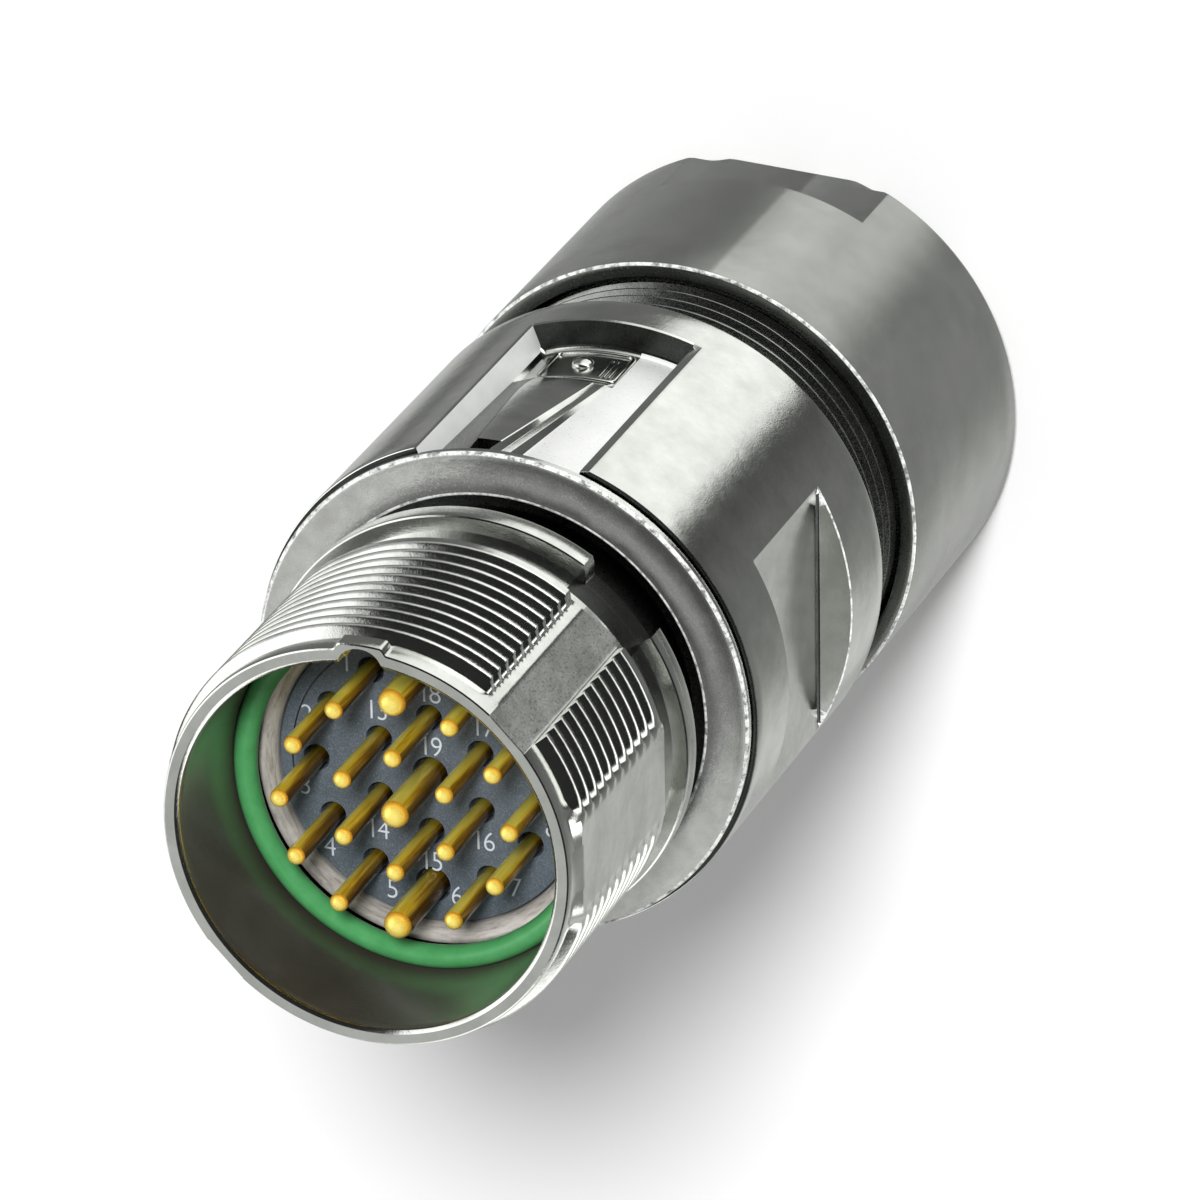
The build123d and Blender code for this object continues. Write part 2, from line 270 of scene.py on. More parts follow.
def gold_material(name, metallic, rough):
    """Drawn gold plating: streaks along the shaft, with painted light on the side facing -X and +Y, a painted
    reflection lighter on pins towards +X and +Y, and painted shade darker towards the foot.
    """
    n = Nodes(name).set(Metallic=metallic)
    lines = n.noise(1.0, 3.0, 0.6, vec=n.mapping((3000.0, 3000.0, 170.0)))
    # painted light: lighter on the side facing -X and +Y, darker on the side turned away
    side = n.t.nodes.new("ShaderNodeVectorMath")
    side.operation = "DOT_PRODUCT"
    n.t.links.new(n.co.outputs["Normal"], side.inputs[0])
    side.inputs[1].default_value = (-0.72, 0.62, 0.35)
    sep = n.t.nodes.new("ShaderNodeSeparateXYZ")
    n.t.links.new(n.co.outputs["Object"], sep.inputs[0])
    # painted reflection: pins further towards +X and +Y come out lighter
    where = n.math("MULTIPLY", n.math("ADD", n.math("MULTIPLY", sep.outputs[0], 0.75), n.math("MULTIPLY", sep.outputs[1], 0.65)), 20.0)
    lift = n.math("ADD", n.math("ADD", n.math("MULTIPLY", side.outputs["Value"], 0.52), n.math("MULTIPLY", lines, 0.95)), where)
    tone = n.ramp(lift, [(0.08, (0.13, 0.062, 0.007)), (0.32, (0.34, 0.175, 0.015)), (0.47, (0.66, 0.38, 0.024)), (0.58, (1.0, 0.66, 0.035)), (0.76, (1.0, 0.84, 0.13))])
    # painted shade: darker towards the foot of the pin, down in the bore
    up = n.math("DIVIDE", n.math("SUBTRACT", sep.outputs[2], 0.0532), 0.0054)
    n.to("Base Color", n.mix(1.0, tone, n.ramp(up, [(0.0, 0.32), (0.3, 0.56), (0.7, 0.94), (1.0, 1.0)]), "MULTIPLY"))
    n.to("Roughness", n.ramp(lines, [(0.3, rough), (0.7, rough + 0.12)]))
    n.to("Normal", n.bump(lines, 1.0, 0.000004))
    return n.mat


def tip_material():
    """Rounded pin end: painted highlight, pale gold, on top; painted shade, a deeper colour, down its side."""
    n = Nodes("gold_tip").set(Metallic=0.28)
    sep = n.t.nodes.new("ShaderNodeSeparateXYZ")
    n.t.links.new(n.co.outputs["Normal"], sep.inputs[0])
    cloud = n.noise(5200.0, 3.0, 0.6)
    # painted highlight and shade: lighter where the normal points up, deeper colour down the side
    up = n.math("ADD", sep.outputs[2], n.math("MULTIPLY", n.math("SUBTRACT", cloud, 0.5), 0.25))
    n.to("Base Color", n.ramp(up, [(0.0, (0.50, 0.20, 0.015)), (0.40, (0.86, 0.42, 0.035)), (0.70, (1.0, 0.64, 0.08)), (0.94, (1.0, 0.82, 0.19))]))
    n.to("Roughness", n.ramp(cloud, [(0.3, 0.22), (0.7, 0.36)]))
    n.to("Normal", n.bump(cloud, 1.0, 0.000004))
    return n.mat


def plastic(name, dark, light, fleck, rough, fleck_at=0.74, grain=9000.0):
    n = Nodes(name)
    base = n.ramp(n.noise(900.0, 4.0, 0.6), [(0.3, dark), (0.7, light)])
    spots = n.ramp(n.noise(grain, 2.0, 0.7), [(fleck_at - 0.08, 0.0), (fleck_at, 1.0)])
    n.to("Base Color", n.mix(spots, base, fleck))
    n.to("Roughness", n.ramp(n.noise(grain * 0.6, 3.0, 0.6), [(0.3, rough - 0.06), (0.7, rough + 0.08)]))
    n.to("Normal", n.bump(n.noise(grain * 0.8, 3.0, 0.6), 1.0, 0.000008))
    return n.mat


gold = gold_material("gold_shaft", 0.42, 0.12)
gold_tip = tip_material()
insert_mat = plastic("blue_grey_insert", (0.085, 0.107, 0.130), (0.114, 0.138, 0.163), (0.18, 0.21, 0.24), 0.46, 0.62, 13000.0)
retainer_mat = plastic("blue_grey_retainer", (0.070, 0.090, 0.118), (0.090, 0.112, 0.142), (0.15, 0.18, 0.21), 0.5)
spacer_mat = plastic("pale_spacer_plastic", (0.60, 0.59, 0.55), (0.70, 0.69, 0.65), (0.78, 0.77, 0.74), 0.5)
cage_mat = plastic("black_cage_plastic", (0.020, 0.021, 0.022), (0.034, 0.035, 0.036), (0.06, 0.06, 0.06), 0.5)
rubber_mat = plastic("black_cable_rubber", (0.016, 0.016, 0.016), (0.028, 0.028, 0.027), (0.045, 0.045, 0.045), 0.62, 0.78, 5000.0)
seal_mat = plastic("green_seal_rubber", (0.062, 0.305, 0.098), (0.090, 0.375, 0.132), (0.13, 0.44, 0.19), 0.34, 0.80, 5000.0)
print_mat = plastic("pale_number_print", (0.62, 0.66, 0.72), (0.74, 0.78, 0.84), (0.80, 0.84, 0.90), 0.5)


def dress(ob, mat, body=None, nodes=()):
    ob.data.materials.clear()
    ob.data.materials.append(mat)
    if body:
        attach(ob, body)
    if nodes:
        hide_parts(*nodes)
    return ob


def paint(ob, mat, test):
    """Second material, a finish or painted light and shade, on the faces whose centre and normal pass the test (mm,
    mesh frame).
    """
    ob.data.materials.append(mat)
    k = len(ob.data.materials) - 1
    for f in ob.data.polygons:
        c = f.center / MM
        if test(c.x, c.y, c.z, math.hypot(c.x, c.y), wrap(math.degrees(math.atan2(-c.x, c.y))), f.normal):
            f.material_index = k


shade = metal("shadowed_nickel", (0.045, 0.047, 0.045), (0.075, 0.078, 0.073), 0.22, 0.40, 9000.0, 0.000006, 900.0, 0.000012)
# painted shade: a dimmed copy of the nickel, darker reflections for a gap, a recess wall, a step line and the rear
# thread
painted_half_shade = metal("painted_half_shade_nickel", (0.20, 0.21, 0.20), (0.32, 0.33, 0.31), 0.16, 0.34, 9000.0, 0.000006, 900.0, 0.000010)


def lit_material():
    n = Nodes("lit_nickel").set(Metallic=0.15)
    n.to("Base Color", n.ramp(n.noise(600.0, 4.0), [(0.3, (0.86, 0.87, 0.85)), (0.7, (0.95, 0.96, 0.94))]))
    fine = n.noise(9000.0, 4.0, 0.65)
    n.to("Roughness", n.ramp(fine, [(0.3, 0.30), (0.7, 0.48)]))
    n.to("Normal", n.bump(fine, 1.0, 0.000006))
    return n.mat


lit = lit_material()


def worn_edge_material():
    """Chamfered edge with painted glints: bright and dull spots of painted highlight along it."""
    n = Nodes("painted_glint_edge").set(Metallic=0.15)
    spots = n.noise(2300.0, 4.0, 0.72)
    n.to("Base Color", n.ramp(spots, [(0.38, (0.22, 0.23, 0.22)), (0.48, (0.66, 0.67, 0.65)), (0.58, (0.96, 0.97, 0.95))]))
    n.to("Roughness", n.ramp(spots, [(0.3, 0.25), (0.7, 0.45)]))
    n.to("Normal", n.bump(spots, 1.0, 0.00002))
    return n.mat


painted_glint = worn_edge_material()
channel_metal = metal("cast_channel", (0.44, 0.45, 0.43), (0.80, 0.81, 0.78), 0.22, 0.42, 7000.0, 0.000004, 1300.0, 0.000012)


def bore_material():
    """Smooth bore wall: dull brown along one side, with a painted paler, greenish band of light and reflection on the
    others.
    """
    n = Nodes("bore_wall").set(Metallic=0.62)
    sep = n.t.nodes.new("ShaderNodeSeparateXYZ")
    n.t.links.new(n.co.outputs["Object"], sep.inputs[0])
    cloud = n.noise(330.0, 3.0, 0.6)
    # painted light: the paler, greenish band of light and reflection lies towards +X and +Y, the dull brown towards -X
    # and -Y
    way = n.math("ADD", n.math("MULTIPLY", sep.outputs[0], -57.0), n.math("MULTIPLY", sep.outputs[1], -81.0))
    way = n.math("ADD", n.math("MULTIPLY", way, 0.5), n.math("MULTIPLY", cloud, 0.16))
    pale = n.ramp(way, [(0.10, 1.0), (0.28, 0.72), (0.44, 0.24), (0.54, 0.0)])
    dull = n.ramp(cloud, [(0.3, (0.115, 0.105, 0.080)), (0.7, (0.155, 0.142, 0.112))])
    n.to("Base Color", n.mix(pale, dull, (0.36, 0.38, 0.29)))
    fine = n.noise(5200.0, 4.0, 0.65)
    n.to("Roughness", n.ramp(fine, [(0.3, 0.16), (0.72, 0.26)]))
    n.to("Normal", n.bump(fine, 1.0, 0.000003, n.bump(n.noise(600.0, 2.0, 0.5), 1.0, 0.000004)))
    return n.mat


bore_metal = bore_material()


def flange_material():
    """Turned flange face: even satin on one side; on the other, a painted highlight band across the face with painted
    darker bands either side.
    """
    n = Nodes("cast_flange").set(Metallic=0.78)
    sep = n.t.nodes.new("ShaderNodeSeparateXYZ")
    n.t.links.new(n.co.outputs["Object"], sep.inputs[0])
    x, y = sep.outputs[0], sep.outputs[1]
    cloud = n.noise(520.0, 3.0, 0.6)
    r = n.math("SQRT", n.math("ADD", n.math("MULTIPLY", x, x), n.math("MULTIPLY", y, y)))
    across = n.math("DIVIDE", n.math("SUBTRACT", r, 0.0112), 0.0022)
    across = n.math("ADD", across, n.math("MULTIPLY", n.math("SUBTRACT", cloud, 0.5), 0.35))
    # painted highlight: a bright band across the face at about 12 mm radius, painted darker either side
    painted_highlight_ridge = n.ramp(across, [(0.0, 0.42), (0.16, 0.30), (0.34, 0.95), (0.48, 0.98), (0.62, 0.62), (0.80, 0.30), (1.0, 0.24)])
    ang = n.math("ADD", n.math("DIVIDE", n.math("ARCTAN2", n.math("MULTIPLY", x, -1.0), y), 2 * math.pi), 0.5)
    ang = n.math("ADD", ang, n.math("MULTIPLY", n.math("SUBTRACT", cloud, 0.5), 0.04))
    # where the painted highlight and shade pattern shows, by angle round the axis; elsewhere the even satin tone
    where = n.ramp(ang, [((t + 180) / 360, v) for t, v in ((-110, 0.0), (-82, 0.35), (-62, 1.0), (-30, 0.85), (-8, 0.75), (14, 0.30), (40, 0.0))])
    even = n.ramp(n.noise(900.0, 4.0, 0.6), [(0.3, 0.56), (0.7, 0.72)])
    n.to("Base Color", n.mix(1.0, n.mix(where, even, painted_highlight_ridge), (1.0, 1.01, 0.98), "MULTIPLY"))
    fine = n.noise(7000.0, 4.0, 0.65)
    n.to("Roughness", n.ramp(fine, [(0.3, 0.14), (0.72, 0.30)]))
    n.to("Normal", n.bump(fine, 1.0, 0.000010, n.bump(n.noise(700.0, 2.0, 0.5), 1.0, 0.000016)))
    return n.mat


flange_metal = flange_material()
# painted shade: a darkened copy of the nickel, so the ramp's left facet shows no bright reflection of the wall
painted_shade_facet_metal = metal("painted_shade_facet_nickel", (0.086, 0.090, 0.086), (0.122, 0.126, 0.119), 0.20, 0.34, 9000.0, 0.000006, 900.0, 0.000010)
# painted shade: a darkened nickel for the nut's turned front face
painted_shade_annulus = metal("painted_shade_turned_face_nickel", (0.22, 0.225, 0.215), (0.30, 0.31, 0.295), 0.16, 0.30, 9000.0, 0.000006, 900.0, 0.000006)
# painted light: a near-white, mostly non-metal copy of the nickel that the lamp lights up, for the recess land
pale = metal("painted_light_land", (0.86, 0.87, 0.85), (0.95, 0.96, 0.94), 0.25, 0.40, 7000.0, 0.000006, 900.0, 0.000010, 0.28)

# ------------------------------------------------------------------ housing, front part
H = 62.2
CREST, ROOT = 11.50, 10.88
FLAT_X = 11.16
CHANNELS = (0.0, 180.0)                      # the second channel is the first one turned half round
CREST_END, ROOT_END, FLOOR_A, FLOOR_B, CREST_ON = -33.2, -35.9, -39.2, -52.8, -53.3
FLOOR_MID = (FLOOR_A + FLOOR_B) / 2
GAP_TOP, GAP_LOW, GAP_ON = -32.0, -35.2, -56.7
KEY_HALF = 5.75

front_cols = columns(
    0.8,
    dense=[(-112, -68, 0.5), (68, 112, 0.5), (-8, 8, 0.4)],
    pairs=[c + a for c in CHANNELS for a in (CREST_END, ROOT_END, FLOOR_A, FLOOR_B, CREST_ON, GAP_TOP, GAP_LOW, GAP_ON)],
)


def front_radius(r, z):
    """Outer radius of the mating end at every column."""
    th = front_cols
    out = np.full(len(th), float(r))
    if z > 48.9:
        for c in (90.0, -90.0):
            d = np.abs(wrap(th - c))
            near = d < 24.0
            cut = FLAT_X / np.cos(np.radians(np.minimum(d, 40)))
            crest = np.minimum(CREST, cut)
            keep = smoothstep(11.5, 20.0, d)
            if z < 61.0 and r > 10.87:
                depth = CREST - r
                new = crest - depth * keep
            else:
                new = np.minimum(out, cut)
            out = np.where(near, np.minimum(new, np.where(d < 14.2, cut, new)), out)
    bulge = 1 - smoothstep(5.6, 7.6, np.abs(th))
    if z > 61.2:
        out = out + 0.32 * bulge
    for c in CHANNELS:
        a = wrap(th - c)
        if z > 48.55:
            if z < 61.2:
                # end walls run along Y, so they lean against the radius
                t = np.clip((CREST_END - a) / (CREST_END - ROOT_END), 0, 1)
                out = np.where((a < CREST_END) & (a >= ROOT_END), np.minimum(out, CREST - (CREST - 10.88) * t), out)
                out = np.where((a < ROOT_END) & (a > CREST_ON), np.minimum(out, 10.88), out)
            out = np.where((a < FLOOR_A) & (a > FLOOR_B), np.minimum(out, 10.80 / np.cos(np.radians(np.clip(a - FLOOR_MID, -40, 40)))), out)
        if 45.6 < z < 47.06:
            t = np.clip((GAP_TOP - a) / (GAP_TOP - GAP_LOW), 0, 1)
            out = np.where((a < GAP_TOP) & (a >= GAP_LOW), np.minimum(out, 11.7 - 0.84 * t), out)
            out = np.where((a < GAP_LOW) & (a > GAP_ON), np.minimum(out, 10.86), out)
    return out


def bore_radius(r, z):
    """Bore wall with the keyway at the top."""
    th = np.radians(front_cols)
    out = np.full(len(th), float(r))
    if z > 55.6:
        x = 10.4 * np.sin(th)
        flare = float(np.clip((z - 61.2) / 0.3, 0, 1))
        half = 1.1 + 0.15 * flare
        inside = (np.abs(x) < half) & (np.cos(th) > 0)
        y = 9.72 + 0.07 * flare + np.sqrt(np.clip(half ** 2 - x ** 2, 0, None))
        out = np.where(inside, np.maximum(out, np.hypot(x, y)), out)
    return out


rows = []
for r, z in [(10.40, H), (10.86, H), (10.94, H - 0.05), (10.98, H - 0.13), (11.0, 61.8), (11.0, 61.25)]:
    rows.append((front_radius(r, z), z))
for k in range(11):
    c = 60.27 - k * 1.04
    tail = 0.40 if k == 10 else 0.0
    for r, dz in [(ROOT, 0.47), (CREST - 0.16, 0.20), (CREST - 0.05, 0.12), (CREST, 0.05), (CREST, -0.05 - tail), (CREST - 0.05, -0.12 - tail), (ROOT, -0.47 - tail)]:
        rows.append((front_radius(r, c + dz), c + dz))
for r, z in [(10.86, 49.02), (10.85, 48.60), (10.85, 48.50), (10.85, 47.10), (10.85, 47.02), (11.30, 47.0), (11.60, 47.0), (11.68, 46.94), (11.70, 46.84),
             (11.70, 45.86), (11.68, 45.76), (11.60, 45.70), (11.0, 45.70), (10.42, 45.70), (10.33, 45.66), (10.30, 45.56), (10.30, 44.0), (10.30, 42.30)]:
    rows.append((front_radius(r, z), z))
for r, z in [(8.68, 42.30), (8.66, 42.40), (8.66, 52.91), (8.70, 52.95), (9.38, 52.95), (9.42, 52.99), (9.42, 54.11), (9.46, 54.15), (10.10, 54.15), (10.14, 54.19), (10.14, 55.58), (10.14, 55.62), (10.14, 61.0), (10.14, 61.2), (10.14, 61.5), (10.14, 61.95), (10.18, 62.06), (10.28, 62.15)]:
    rows.append((bore_radius(r, z), z))
rows[0] = (np.maximum(bore_radius(10.36, H), 10.36), H)
housing_front = revolve("housing_mating_end", rows, front_cols, sharp=24.0)
dress(housing_front, bright, HOUSING, ["coupling_housing"])
paint(housing_front, shade, lambda x, y, z, r, t, n: z < 45.68 and 9.5 < r < 11.2)
paint(housing_front, channel_metal, lambda x, y, z, r, t, n: 48.5 < z < 62.0 and 10.7 < r < 10.93 and min(abs(wrap(t - c - FLOOR_MID)) for c in CHANNELS) < 6.75)
# painted shade: the gap between the sleeve bead and the seal, dimmed
paint(housing_front, painted_half_shade, lambda x, y, z, r, t, n: 52.92 < z < 54.17 and r < 9.6)
paint(housing_front, shade, lambda x, y, z, r, t, n: 45.72 < z < 48.45 and 10.8 < r < 10.95 and min(abs(wrap(t - c + 45.0)) for c in CHANNELS) < 13.0)
paint(housing_front, bore_metal, lambda x, y, z, r, t, n: 54.2 < z < 61.96 and 10.0 < r < 10.2)

# ------------------------------------------------------------------ housing, body
RECESS_R, RECESS_L = -18.25, 20.10      # right and left wall of the recess
FLOOR_R = 12.12
FLAT_BODY = 11.95
STEP_T = -6.6
body_cols = columns(
    1.0,
    dense=[(-18.0, 19.9, 0.5)],
    pairs=[RECESS_R, RECESS_L, STEP_T, RECESS_R - 1.9, RECESS_L + 0.6] + [c + s * 30.4 for c in (90, -90) for s in (1, -1)],
)


def recess_floor(z):
    """Floor radius at every column: turned floor, soft corners, and the land on the right."""
    th = body_cols
    r = np.full(len(th), FLOOR_R)
    d = np.minimum(th - RECESS_R, RECESS_L - th)
    r = r + 0.24 * np.clip(1 - d / 1.3, 0, 1) ** 2
    r = r + 0.30 * np.clip(1 - (z - 25.7) / 0.35, 0, 1) ** 2
    land = float(np.clip((z - 30.55) / 0.1, 0, 1))
    r = r + 0.16 * land * (th < STEP_T)
    return r


def body_radius(r, z):
    th = body_cols
    out = np.full(len(th), float(r))
    if 22.91 < z < 42.43:
        if 27.99 < z < 37.71:
            fil = 0.14 * np.clip(1 - (z - 28.0) / 0.14, 0, 1) ** 2
            for c in (90.0, -90.0):
                d = np.abs(wrap(th - c))
                flat = FLAT_BODY / np.cos(np.radians(np.minimum(d, 40))) + fil
                out = np.where(d < 30.6, np.minimum(out, flat), out)
        elif 27.85 < z < 28.0:
            for c in (90.0, -90.0):
                out = np.where(np.abs(wrap(th - c)) < 30.3, out - 0.13 * float(np.clip((z - 27.86) / 0.13, 0, 1)), out)
        inside = (th > RECESS_R) & (th < RECESS_L)
        if z > 25.7:
            out = np.where(inside, np.minimum(out, recess_floor(z)), out)
            rim = (th < RECESS_R) & (th > RECESS_R - 1.9)
            out = np.where(rim, out - 0.22 * (1 - (RECESS_R - th) / 1.9), out)
            rim = (th > RECESS_L) & (th < RECESS_L + 0.6)
            out = np.where(rim, out - 0.06 * (1 - (th - RECESS_L) / 0.6), out)
        elif z > 25.6:
            out = np.where(inside, out - 0.07, out)
    return out


profile = [(10.15, 42.46), (10.30, 42.42), (11.05, 42.42), (11.13, 42.50), (11.18, 43.10), (11.20, 43.18), (11.25, 43.22), (11.36, 43.235),
           (11.75, 43.225), (12.30, 43.205), (12.85, 43.21), (13.15, 43.23), (13.32, 43.25), (13.44, 43.245), (13.54, 43.20), (13.59, 43.13), (13.60, 43.05),
           (13.60, 42.70), (13.56, 42.64), (13.18, 42.62), (13.12, 42.58), (13.12, 42.45), (13.18, 42.425), (13.79, 42.42), (13.83, 42.40), (13.85, 42.34)]
zs = list(np.arange(41.6, 25.8, -0.5)) + [37.95, 37.79, 37.701, 37.699, 28.14, 28.10, 28.06, 28.03, 28.001, 27.999, 27.93, 27.86,
                                         30.65, 30.55, 26.04, 25.98, 25.9, 25.82, 25.76, 25.72, 25.701, 25.699, 25.58, 25.0, 24.0]
for z in sorted(zs, reverse=True):
    profile.append((13.85, z))
profile += [(13.85, 23.16), (13.82, 23.02), (13.74, 22.93), (13.62, 22.90), (12.1, 22.90), (11.95, 22.80), (11.92, 22.45)]
for k in range(9):
    c = 21.95 - k
    profile += [(11.88, c + 0.46), (12.40, c + 0.12), (12.48, c + 0.07), (12.50, c + 0.03), (12.50, c - 0.03), (12.46, c - 0.08), (11.88, c - 0.44)]
profile += [(11.88, 13.0), (12.45, 12.7), (12.45, 11.5), (11.95, 11.02), (11.88, 11.0), (10.80, 11.0), (10.42, 11.38), (10.40, 11.5), (10.40, 37.98), (10.36, 38.0), (8.70, 38.0), (8.66, 38.04), (8.66, 42.0), (8.70, 42.2), (9.6, 42.3)]
rows = [(body_radius(r, z), z) for r, z in profile]
housing_body = revolve("housing_body", rows, body_cols, sharp=24.0)
dress(housing_body, bright, HOUSING, ["coupling_housing"])
paint(housing_body, shade, lambda x, y, z, r, t, n: abs(z - 25.7) < 0.05 and RECESS_R - 0.1 < t < RECESS_L + 0.1 and r < 13.82)
paint(housing_body, lit, lambda x, y, z, r, t, n: z > 25.7 and abs(t - RECESS_L) < 0.09 and r < 13.8 and z < 42.5)
# painted shade: the recess's right wall, dimmed
paint(housing_body, painted_half_shade, lambda x, y, z, r, t, n: z > 25.7 and abs(t - RECESS_R) < 0.09 and r < 13.8 and z < 42.5)
# painted light: the recess land right of the ramp, near-white
paint(housing_body, pale, lambda x, y, z, r, t, n: 25.75 < z < 42.4 and r < 12.6 and t > RECESS_R + 0.1 and y > 0 and (t < STEP_T + 0.02 or (z > 30.1 and x > 0.30 - 1.30 * (z - 30.05) / 11.25 + 0.6)))
paint(housing_body, shade, lambda x, y, z, r, t, n: z > 42.41 and z < 42.6 and r < 11.2)
paint(housing_body, shade, lambda x, y, z, r, t, n: 42.41 < z < 42.64 and 13.0 < r < 13.5)
paint(housing_body, flange_metal, lambda x, y, z, r, t, n: z > 43.15 and 11.2 < r < 13.4)
# painted glints on the flange's inner and outer edges
paint(housing_body, painted_glint, lambda x, y, z, r, t, n: (z > 43.12 and 11.1 < r < 11.33) or (z > 43.06 and r > 13.47))
# painted shade: the rear thread, dimmed to a darker reflection
paint(housing_body, painted_half_shade, lambda x, y, z, r, t, n: 10.98 < z < 22.85 and r > 11.6)
# painted glints along the chamfer at the wrench flats
paint(housing_body, painted_glint, lambda x, y, z, r, t, n: 27.86 < z < 27.999 and 90 - 30.2 < abs(t) < 90 + 30.2 and r > 13.6)
paint(housing_body, shade, lambda x, y, z, r, t, n: 28.003 < z < 28.14 and 90 - 29.6 < abs(t) < 90 + 29.6 and r < 13.72)
# painted shade: a dark line along the step of the land
paint(housing_body, painted_half_shade, lambda x, y, z, r, t, n: 30.5 < z < 30.7 and RECESS_R + 0.2 < t < STEP_T and r < 12.6)

# ramp in the recess: one closed loft with clean edges
def loft(name, sections, sharp=20.0):
    v, f = [], []
    m = len(sections[0])
    for sec in sections:
        v += [(px * MM, py * MM, pz * MM) for px, py, pz in sec]
    for j in range(len(sections) - 1):
        for k in range(m):
            q = (k + 1) % m
            f.append((j * m + k, j * m + q, (j + 1) * m + q, (j + 1) * m + k))
    f.append(tuple(range(m))[::-1])
    f.append(tuple((len(sections) - 1) * m + k for k in range(m)))
    return obj_from(name, v, f, sharp)


def ramp_section(t):
    z = 30.05 + 11.25 * t
    base = 12.08
    h = 0.10 + 0.90 * t
    x_l, x_r = -3.38 + 1.28 * t + 0.55 * math.exp(-t / 0.09), 0.30 - 1.30 * t
    arch = 0.07 * (1 - t)
    return [(-4.6, 11.40 + 0.12 + 0.28 * t, z), (-4.1, 11.50 + 0.12 + 0.36 * t, z), (x_l - 0.06, base + h - 0.045 - 0.1 * (1 - t), z), (x_l + 0.06, base + h - 0.10 * (1 - t), z), ((x_l + x_r) / 2, base + h + arch, z),
            (x_r - 0.04, base + h, z), (x_r + 0.03, base + h - 0.03, z), (x_r + 0.24, base + 0.62 * h, z), (x_r + 0.30, base + 0.60 * h, z), (x_r + 0.60, base + 0.56 * h, z),
            (x_r + 0.66, base + 0.53 * h, z), (x_r + 0.95, base - 0.05, z), (x_r + 1.0, 11.3, z), (-4.6, 11.2, z)]


secs = [ramp_section(t) for t in np.linspace(0, 0.91, 40)]
facet = []
for t in (0.905, 1.0, 1.095):
    q = ramp_section(t)
    facet.append([q[0], q[1], q[2], (q[3][0], q[3][1], q[3][2]), (q[3][0] + 0.02, 11.3, q[3][2]), q[-1]])
steps = []
for t in (0.905, 1.0, 1.095):
    q = ramp_section(min(t, 1.0))
    z = 30.05 + 11.25 * t
    steps.append([(q[6][0] - 0.05, 11.3, z), (q[6][0] - 0.05, q[6][1], z), (q[6][0], q[6][1], z)] + [(x, y, z) for x, y, _ in q[7:13]])
ramp = loft("housing_recess_ramp", secs)
dress(ramp, bright, HOUSING)
paint(ramp, shade, lambda x, y, z, r, t, n: n.z > 0.9)
# painted shade: the ramp's left facet and the facet piece at its end are darkened
paint(ramp, painted_shade_facet_metal, lambda x, y, z, r, t, n: n.x < -0.15 and n.z < 0.9 and n.y > 0)
facet_ob = dress(loft("housing_recess_facet", facet), painted_shade_facet_metal, HOUSING)
steps_ob = dress(loft("housing_recess_steps", steps), bright, HOUSING)

# raised frame, plain boss and three fine bars in the recess
cx, cz, hx, hz, cr = -0.95, 27.95, 2.18, 1.72, 0.32
path = []
for qx, qz, a0 in ((1, 1, 0), (-1, 1, 90), (-1, -1, 180), (1, -1, 270)):
    for d in range(0, 91, 15):
        t = math.radians(a0 + d)
        path.append((cx + qx * (hx - cr) + cr * math.cos(t), cz + qz * (hz - cr) + cr * math.sin(t)))
full = []
for k in range(len(path)):
    (xa, za), (xb, zb) = path[k], path[(k + 1) % len(path)]
    steps = max(1, int(math.hypot(xb - xa, zb - za) / 0.35))
    full += [(xa + (xb - xa) * q / steps, za + (zb - za) * q / steps) for q in range(steps)]
v, f = [], []
shape = [(-0.15, -0.35), (-0.13, 0.03), (-0.085, 0.13), (-0.03, 0.165), (0.03, 0.165), (0.085, 0.13), (0.13, 0.03), (0.15, -0.35)]
m, n = len(shape), len(full)
for k, (x, z) in enumerate(full):
    (xa, za), (xb, zb) = full[k - 1], full[(k + 1) % n]
    L = math.hypot(xb - xa, zb - za)
    nx, nz = (zb - za) / L, -(xb - xa) / L
    y0 = math.sqrt(FLOOR_R ** 2 - x * x)
    v += [((x + nx * w) * MM, (y0 + h) * MM, (z + nz * w) * MM) for w, h in shape]
for k in range(n):
    for j in range(m):
        a, b = k * m, ((k + 1) % n) * m
        f.append((a + j, a + (j + 1) % m, b + (j + 1) % m, b + j))
for q, (bx, bz0, bz1) in enumerate(((0.30, 27.0, 29.2), (0.56, 27.0, 29.2), (0.82, 27.0, 29.2))):
    o = len(v)
    for z in (bz0, bz1):
        y0 = math.sqrt(FLOOR_R ** 2 - bx * bx)
        v += [((bx + w * 0.55) * MM, (y0 + h * 0.6) * MM, z * MM) for w, h in shape]
    f += [(o + j, o + (j + 1) % m, o + m + (j + 1) % m, o + m + j) for j in range(m)]
    f += [tuple(o + j for j in range(m))[::-1], tuple(o + m + j for j in range(m))]
o = len(v)
bx, bz, br, seg = -1.1, 27.85, 0.60, 28
y0 = math.sqrt(FLOOR_R ** 2 - bx * bx)
prof = [(br, -0.3), (br, 0.10), (br * 0.93, 0.20), (br * 0.72, 0.31), (br * 0.4, 0.38), (br * 0.12, 0.40)]
for rr, h in prof:
    for k in range(seg):
        t = 2 * math.pi * k / seg
        v.append(((bx + rr * math.cos(t)) * MM, (y0 + h) * MM, (bz + rr * math.sin(t)) * MM))
for j in range(len(prof) - 1):
    for k in range(seg):
        q = (k + 1) % seg
        f.append((o + j * seg + k, o + j * seg + q, o + (j + 1) * seg + q, o + (j + 1) * seg + k))
f.append(tuple(o + k for k in range(seg))[::-1])
f.append(tuple(o + (len(prof) - 1) * seg + k for k in range(seg)))
dress(obj_from("housing_recess_frame", v, f, 35.0), bright, HOUSING)

# ------------------------------------------------------------------ gland nut
NUT_FLATS = (-3.0, 177.0)
nut_cols = columns(0.9, pairs=[c + s * 25.06 for c in NUT_FLATS for s in (1, -1)])


